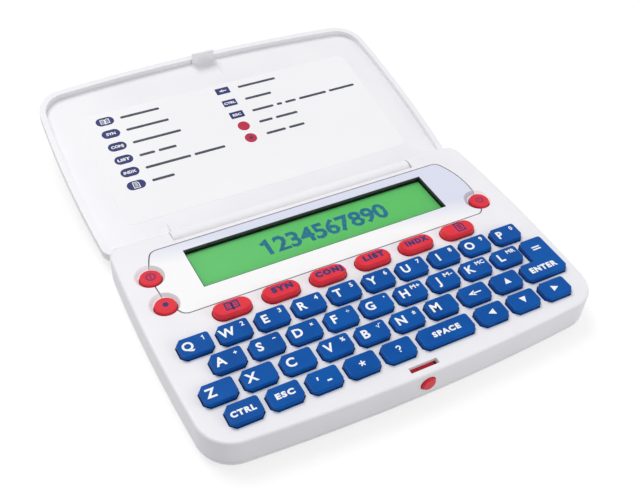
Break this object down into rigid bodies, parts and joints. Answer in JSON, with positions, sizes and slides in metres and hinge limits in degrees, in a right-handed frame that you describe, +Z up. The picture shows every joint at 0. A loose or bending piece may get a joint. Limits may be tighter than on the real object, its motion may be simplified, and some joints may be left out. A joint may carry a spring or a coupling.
{
  "type": "electronic dictionary",
  "caption": "Handheld electronic dictionary: keyboard, one-line display, round and pill-shaped function keys, and a latched clamshell lid that opens nearly flat.",
  "frame": {"origin": "middle of the base's footprint, on its flat underside", "axes": "+X to the user's right along the key rows, +Y from the user to the hinge, +Z up out of the keys"},
  "size_m": [0.1326, 0.1659, 0.0226],
  "materials": {
    "housing": "fine-grained white moulded plastic",
    "lid": "smooth white moulded plastic, semi-gloss inside",
    "bezel": "pearl silver paint on moulded plastic",
    "window": "clear acrylic, polished",
    "lcd": "liquid crystal glass with a green reflector and black border",
    "board": "green-lacquered glass-epoxy board",
    "mat": "moulded silicone rubber",
    "cell": "nickel-plated steel cans",
    "screw": "zinc-plated steel",
    "spring": "spring steel strip",
    "blue_key": "glossy blue moulded plastic, printed legend",
    "red_key": "glossy red moulded plastic, printed legend"
  },
  "bodies": {
    "base": {"top_housing": "housing", "bottom_housing": "housing", "display_bezel": "bezel", "display_window": "window", "lcd_panel": "lcd", "key_mat": "mat", "circuit_board": "board", "battery_cover": "housing", "batteries": "cell", "screws": "screw", "release_spring": "spring"},
    "lid": {"lid": "lid"},
    "release_button": {"release_button": "red_key"},
    "key_q": {"key_q": "blue_key"},
    "key_w": {"key_w": "blue_key"},
    "key_e": {"key_e": "blue_key"},
    "key_r": {"key_r": "blue_key"},
    "key_t": {"key_t": "blue_key"},
    "key_y": {"key_y": "blue_key"},
    "key_u": {"key_u": "blue_key"},
    "key_i": {"key_i": "blue_key"},
    "key_o": {"key_o": "blue_key"},
    "key_p": {"key_p": "blue_key"},
    "key_a": {"key_a": "blue_key"},
    "key_s": {"key_s": "blue_key"},
    "key_d": {"key_d": "blue_key"},
    "key_f": {"key_f": "blue_key"},
    "key_g": {"key_g": "blue_key"},
    "key_h": {"key_h": "blue_key"},
    "key_j": {"key_j": "blue_key"},
    "key_k": {"key_k": "blue_key"},
    "key_l": {"key_l": "blue_key"},
    "key_z": {"key_z": "blue_key"},
    "key_x": {"key_x": "blue_key"},
    "key_c": {"key_c": "blue_key"},
    "key_v": {"key_v": "blue_key"},
    "key_b": {"key_b": "blue_key"},
    "key_n": {"key_n": "blue_key"},
    "key_m": {"key_m": "blue_key"},
    "key_backspace": {"key_backspace": "blue_key"},
    "key_up": {"key_up": "blue_key"},
    "key_control": {"key_control": "blue_key"},
    "key_escape": {"key_escape": "blue_key"},
    "key_apostrophe": {"key_apostrophe": "blue_key"},
    "key_star": {"key_star": "blue_key"},
    "key_question": {"key_question": "blue_key"},
    "key_left": {"key_left": "blue_key"},
    "key_down": {"key_down": "blue_key"},
    "key_right": {"key_right": "blue_key"},
    "key_space": {"key_space": "blue_key"},
    "key_enter": {"key_enter": "blue_key"},
    "key_book": {"key_book": "red_key"},
    "key_synonyms": {"key_synonyms": "red_key"},
    "key_conjugate": {"key_conjugate": "red_key"},
    "key_list": {"key_list": "red_key"},
    "key_index": {"key_index": "red_key"},
    "key_menu": {"key_menu": "red_key"},
    "button_help": {"button_help": "red_key"},
    "button_shift": {"button_shift": "red_key"},
    "button_power": {"button_power": "red_key"}
  },
  "joints": [
    {"name": "lid_hinge", "type": "hinge", "parent": "base", "child": "lid", "pos_m": [0, 0.03993, 0.009], "axis": [1, 0, 0], "range_deg": [0, 170.3]},
    {"name": "release_slide", "type": "slide", "parent": "base", "child": "release_button", "axis": [0, 1, 0], "range_m": [0, 0.0008], "stiffness_N_per_m": 1200, "springref_m": -0.0004, "deforming": ["release_spring"]},
    {"name": "key_q_press", "type": "slide", "parent": "base", "child": "key_q", "axis": [0, 0, -1], "range_m": [0, 0.0008], "stiffness_N_per_m": 700, "springref_m": -0.0003, "deforming": ["key_mat"]},
    {"name": "key_w_press", "type": "slide", "parent": "base", "child": "key_w", "axis": [0, 0, -1], "range_m": [0, 0.0008], "stiffness_N_per_m": 700, "springref_m": -0.0003, "deforming": ["key_mat"]},
    {"name": "key_e_press", "type": "slide", "parent": "base", "child": "key_e", "axis": [0, 0, -1], "range_m": [0, 0.0008], "stiffness_N_per_m": 700, "springref_m": -0.0003, "deforming": ["key_mat"]},
    {"name": "key_r_press", "type": "slide", "parent": "base", "child": "key_r", "axis": [0, 0, -1], "range_m": [0, 0.0008], "stiffness_N_per_m": 700, "springref_m": -0.0003, "deforming": ["key_mat"]},
    {"name": "key_t_press", "type": "slide", "parent": "base", "child": "key_t", "axis": [0, 0, -1], "range_m": [0, 0.0008], "stiffness_N_per_m": 700, "springref_m": -0.0003, "deforming": ["key_mat"]},
    {"name": "key_y_press", "type": "slide", "parent": "base", "child": "key_y", "axis": [0, 0, -1], "range_m": [0, 0.0008], "stiffness_N_per_m": 700, "springref_m": -0.0003, "deforming": ["key_mat"]},
    {"name": "key_u_press", "type": "slide", "parent": "base", "child": "key_u", "axis": [0, 0, -1], "range_m": [0, 0.0008], "stiffness_N_per_m": 700, "springref_m": -0.0003, "deforming": ["key_mat"]},
    {"name": "key_i_press", "type": "slide", "parent": "base", "child": "key_i", "axis": [0, 0, -1], "range_m": [0, 0.0008], "stiffness_N_per_m": 700, "springref_m": -0.0003, "deforming": ["key_mat"]},
    {"name": "key_o_press", "type": "slide", "parent": "base", "child": "key_o", "axis": [0, 0, -1], "range_m": [0, 0.0008], "stiffness_N_per_m": 700, "springref_m": -0.0003, "deforming": ["key_mat"]},
    {"name": "key_p_press", "type": "slide", "parent": "base", "child": "key_p", "axis": [0, 0, -1], "range_m": [0, 0.0008], "stiffness_N_per_m": 700, "springref_m": -0.0003, "deforming": ["key_mat"]},
    {"name": "key_a_press", "type": "slide", "parent": "base", "child": "key_a", "axis": [0, 0, -1], "range_m": [0, 0.0008], "stiffness_N_per_m": 700, "springref_m": -0.0003, "deforming": ["key_mat"]},
    {"name": "key_s_press", "type": "slide", "parent": "base", "child": "key_s", "axis": [0, 0, -1], "range_m": [0, 0.0008], "stiffness_N_per_m": 700, "springref_m": -0.0003, "deforming": ["key_mat"]},
    {"name": "key_d_press", "type": "slide", "parent": "base", "child": "key_d", "axis": [0, 0, -1], "range_m": [0, 0.0008], "stiffness_N_per_m": 700, "springref_m": -0.0003, "deforming": ["key_mat"]},
    {"name": "key_f_press", "type": "slide", "parent": "base", "child": "key_f", "axis": [0, 0, -1], "range_m": [0, 0.0008], "stiffness_N_per_m": 700, "springref_m": -0.0003, "deforming": ["key_mat"]},
    {"name": "key_g_press", "type": "slide", "parent": "base", "child": "key_g", "axis": [0, 0, -1], "range_m": [0, 0.0008], "stiffness_N_per_m": 700, "springref_m": -0.0003, "deforming": ["key_mat"]},
    {"name": "key_h_press", "type": "slide", "parent": "base", "child": "key_h", "axis": [0, 0, -1], "range_m": [0, 0.0008], "stiffness_N_per_m": 700, "springref_m": -0.0003, "deforming": ["key_mat"]},
    {"name": "key_j_press", "type": "slide", "parent": "base", "child": "key_j", "axis": [0, 0, -1], "range_m": [0, 0.0008], "stiffness_N_per_m": 700, "springref_m": -0.0003, "deforming": ["key_mat"]},
    {"name": "key_k_press", "type": "slide", "parent": "base", "child": "key_k", "axis": [0, 0, -1], "range_m": [0, 0.0008], "stiffness_N_per_m": 700, "springref_m": -0.0003, "deforming": ["key_mat"]},
    {"name": "key_l_press", "type": "slide", "parent": "base", "child": "key_l", "axis": [0, 0, -1], "range_m": [0, 0.0008], "stiffness_N_per_m": 700, "springref_m": -0.0003, "deforming": ["key_mat"]},
    {"name": "key_z_press", "type": "slide", "parent": "base", "child": "key_z", "axis": [0, 0, -1], "range_m": [0, 0.0008], "stiffness_N_per_m": 700, "springref_m": -0.0003, "deforming": ["key_mat"]},
    {"name": "key_x_press", "type": "slide", "parent": "base", "child": "key_x", "axis": [0, 0, -1], "range_m": [0, 0.0008], "stiffness_N_per_m": 700, "springref_m": -0.0003, "deforming": ["key_mat"]},
    {"name": "key_c_press", "type": "slide", "parent": "base", "child": "key_c", "axis": [0, 0, -1], "range_m": [0, 0.0008], "stiffness_N_per_m": 700, "springref_m": -0.0003, "deforming": ["key_mat"]},
    {"name": "key_v_press", "type": "slide", "parent": "base", "child": "key_v", "axis": [0, 0, -1], "range_m": [0, 0.0008], "stiffness_N_per_m": 700, "springref_m": -0.0003, "deforming": ["key_mat"]},
    {"name": "key_b_press", "type": "slide", "parent": "base", "child": "key_b", "axis": [0, 0, -1], "range_m": [0, 0.0008], "stiffness_N_per_m": 700, "springref_m": -0.0003, "deforming": ["key_mat"]},
    {"name": "key_n_press", "type": "slide", "parent": "base", "child": "key_n", "axis": [0, 0, -1], "range_m": [0, 0.0008], "stiffness_N_per_m": 700, "springref_m": -0.0003, "deforming": ["key_mat"]},
    {"name": "key_m_press", "type": "slide", "parent": "base", "child": "key_m", "axis": [0, 0, -1], "range_m": [0, 0.0008], "stiffness_N_per_m": 700, "springref_m": -0.0003, "deforming": ["key_mat"]},
    {"name": "key_backspace_press", "type": "slide", "parent": "base", "child": "key_backspace", "axis": [0, 0, -1], "range_m": [0, 0.0008], "stiffness_N_per_m": 700, "springref_m": -0.0003, "deforming": ["key_mat"]},
    {"name": "key_up_press", "type": "slide", "parent": "base", "child": "key_up", "axis": [0, 0, -1], "range_m": [0, 0.0008], "stiffness_N_per_m": 700, "springref_m": -0.0003, "deforming": ["key_mat"]},
    {"name": "key_control_press", "type": "slide", "parent": "base", "child": "key_control", "axis": [0, 0, -1], "range_m": [0, 0.0008], "stiffness_N_per_m": 700, "springref_m": -0.0003, "deforming": ["key_mat"]},
    {"name": "key_escape_press", "type": "slide", "parent": "base", "child": "key_escape", "axis": [0, 0, -1], "range_m": [0, 0.0008], "stiffness_N_per_m": 700, "springref_m": -0.0003, "deforming": ["key_mat"]},
    {"name": "key_apostrophe_press", "type": "slide", "parent": "base", "child": "key_apostrophe", "axis": [0, 0, -1], "range_m": [0, 0.0008], "stiffness_N_per_m": 700, "springref_m": -0.0003, "deforming": ["key_mat"]},
    {"name": "key_star_press", "type": "slide", "parent": "base", "child": "key_star", "axis": [0, 0, -1], "range_m": [0, 0.0008], "stiffness_N_per_m": 700, "springref_m": -0.0003, "deforming": ["key_mat"]},
    {"name": "key_question_press", "type": "slide", "parent": "base", "child": "key_question", "axis": [0, 0, -1], "range_m": [0, 0.0008], "stiffness_N_per_m": 700, "springref_m": -0.0003, "deforming": ["key_mat"]},
    {"name": "key_left_press", "type": "slide", "parent": "base", "child": "key_left", "axis": [0, 0, -1], "range_m": [0, 0.0008], "stiffness_N_per_m": 700, "springref_m": -0.0003, "deforming": ["key_mat"]},
    {"name": "key_down_press", "type": "slide", "parent": "base", "child": "key_down", "axis": [0, 0, -1], "range_m": [0, 0.0008], "stiffness_N_per_m": 700, "springref_m": -0.0003, "deforming": ["key_mat"]},
    {"name": "key_right_press", "type": "slide", "parent": "base", "child": "key_right", "axis": [0, 0, -1], "range_m": [0, 0.0008], "stiffness_N_per_m": 700, "springref_m": -0.0003, "deforming": ["key_mat"]},
    {"name": "key_space_press", "type": "slide", "parent": "base", "child": "key_space", "axis": [0, 0, -1], "range_m": [0, 0.0008], "stiffness_N_per_m": 700, "springref_m": -0.0003, "deforming": ["key_mat"]},
    {"name": "key_enter_press", "type": "slide", "parent": "base", "child": "key_enter", "axis": [0, 0, -1], "range_m": [0, 0.0008], "stiffness_N_per_m": 700, "springref_m": -0.0003, "deforming": ["key_mat"]},
    {"name": "key_book_press", "type": "slide", "parent": "base", "child": "key_book", "axis": [0, 0, -1], "range_m": [0, 0.0008], "stiffness_N_per_m": 700, "springref_m": -0.0003, "deforming": ["key_mat"]},
    {"name": "key_synonyms_press", "type": "slide", "parent": "base", "child": "key_synonyms", "axis": [0, 0, -1], "range_m": [0, 0.0008], "stiffness_N_per_m": 700, "springref_m": -0.0003, "deforming": ["key_mat"]},
    {"name": "key_conjugate_press", "type": "slide", "parent": "base", "child": "key_conjugate", "axis": [0, 0, -1], "range_m": [0, 0.0008], "stiffness_N_per_m": 700, "springref_m": -0.0003, "deforming": ["key_mat"]},
    {"name": "key_list_press", "type": "slide", "parent": "base", "child": "key_list", "axis": [0, 0, -1], "range_m": [0, 0.0008], "stiffness_N_per_m": 700, "springref_m": -0.0003, "deforming": ["key_mat"]},
    {"name": "key_index_press", "type": "slide", "parent": "base", "child": "key_index", "axis": [0, 0, -1], "range_m": [0, 0.0008], "stiffness_N_per_m": 700, "springref_m": -0.0003, "deforming": ["key_mat"]},
    {"name": "key_menu_press", "type": "slide", "parent": "base", "child": "key_menu", "axis": [0, 0, -1], "range_m": [0, 0.0008], "stiffness_N_per_m": 700, "springref_m": -0.0003, "deforming": ["key_mat"]},
    {"name": "button_help_press", "type": "slide", "parent": "base", "child": "button_help", "axis": [0, 0, -1], "range_m": [0, 0.0008], "stiffness_N_per_m": 700, "springref_m": -0.0003, "deforming": ["key_mat"]},
    {"name": "button_shift_press", "type": "slide", "parent": "base", "child": "button_shift", "axis": [0, 0, -1], "range_m": [0, 0.0008], "stiffness_N_per_m": 700, "springref_m": -0.0003, "deforming": ["key_mat"]},
    {"name": "button_power_press", "type": "slide", "parent": "base", "child": "button_power", "axis": [0, 0, -1], "range_m": [0, 0.0008], "stiffness_N_per_m": 700, "springref_m": -0.0003, "deforming": ["key_mat"]}
  ]
}
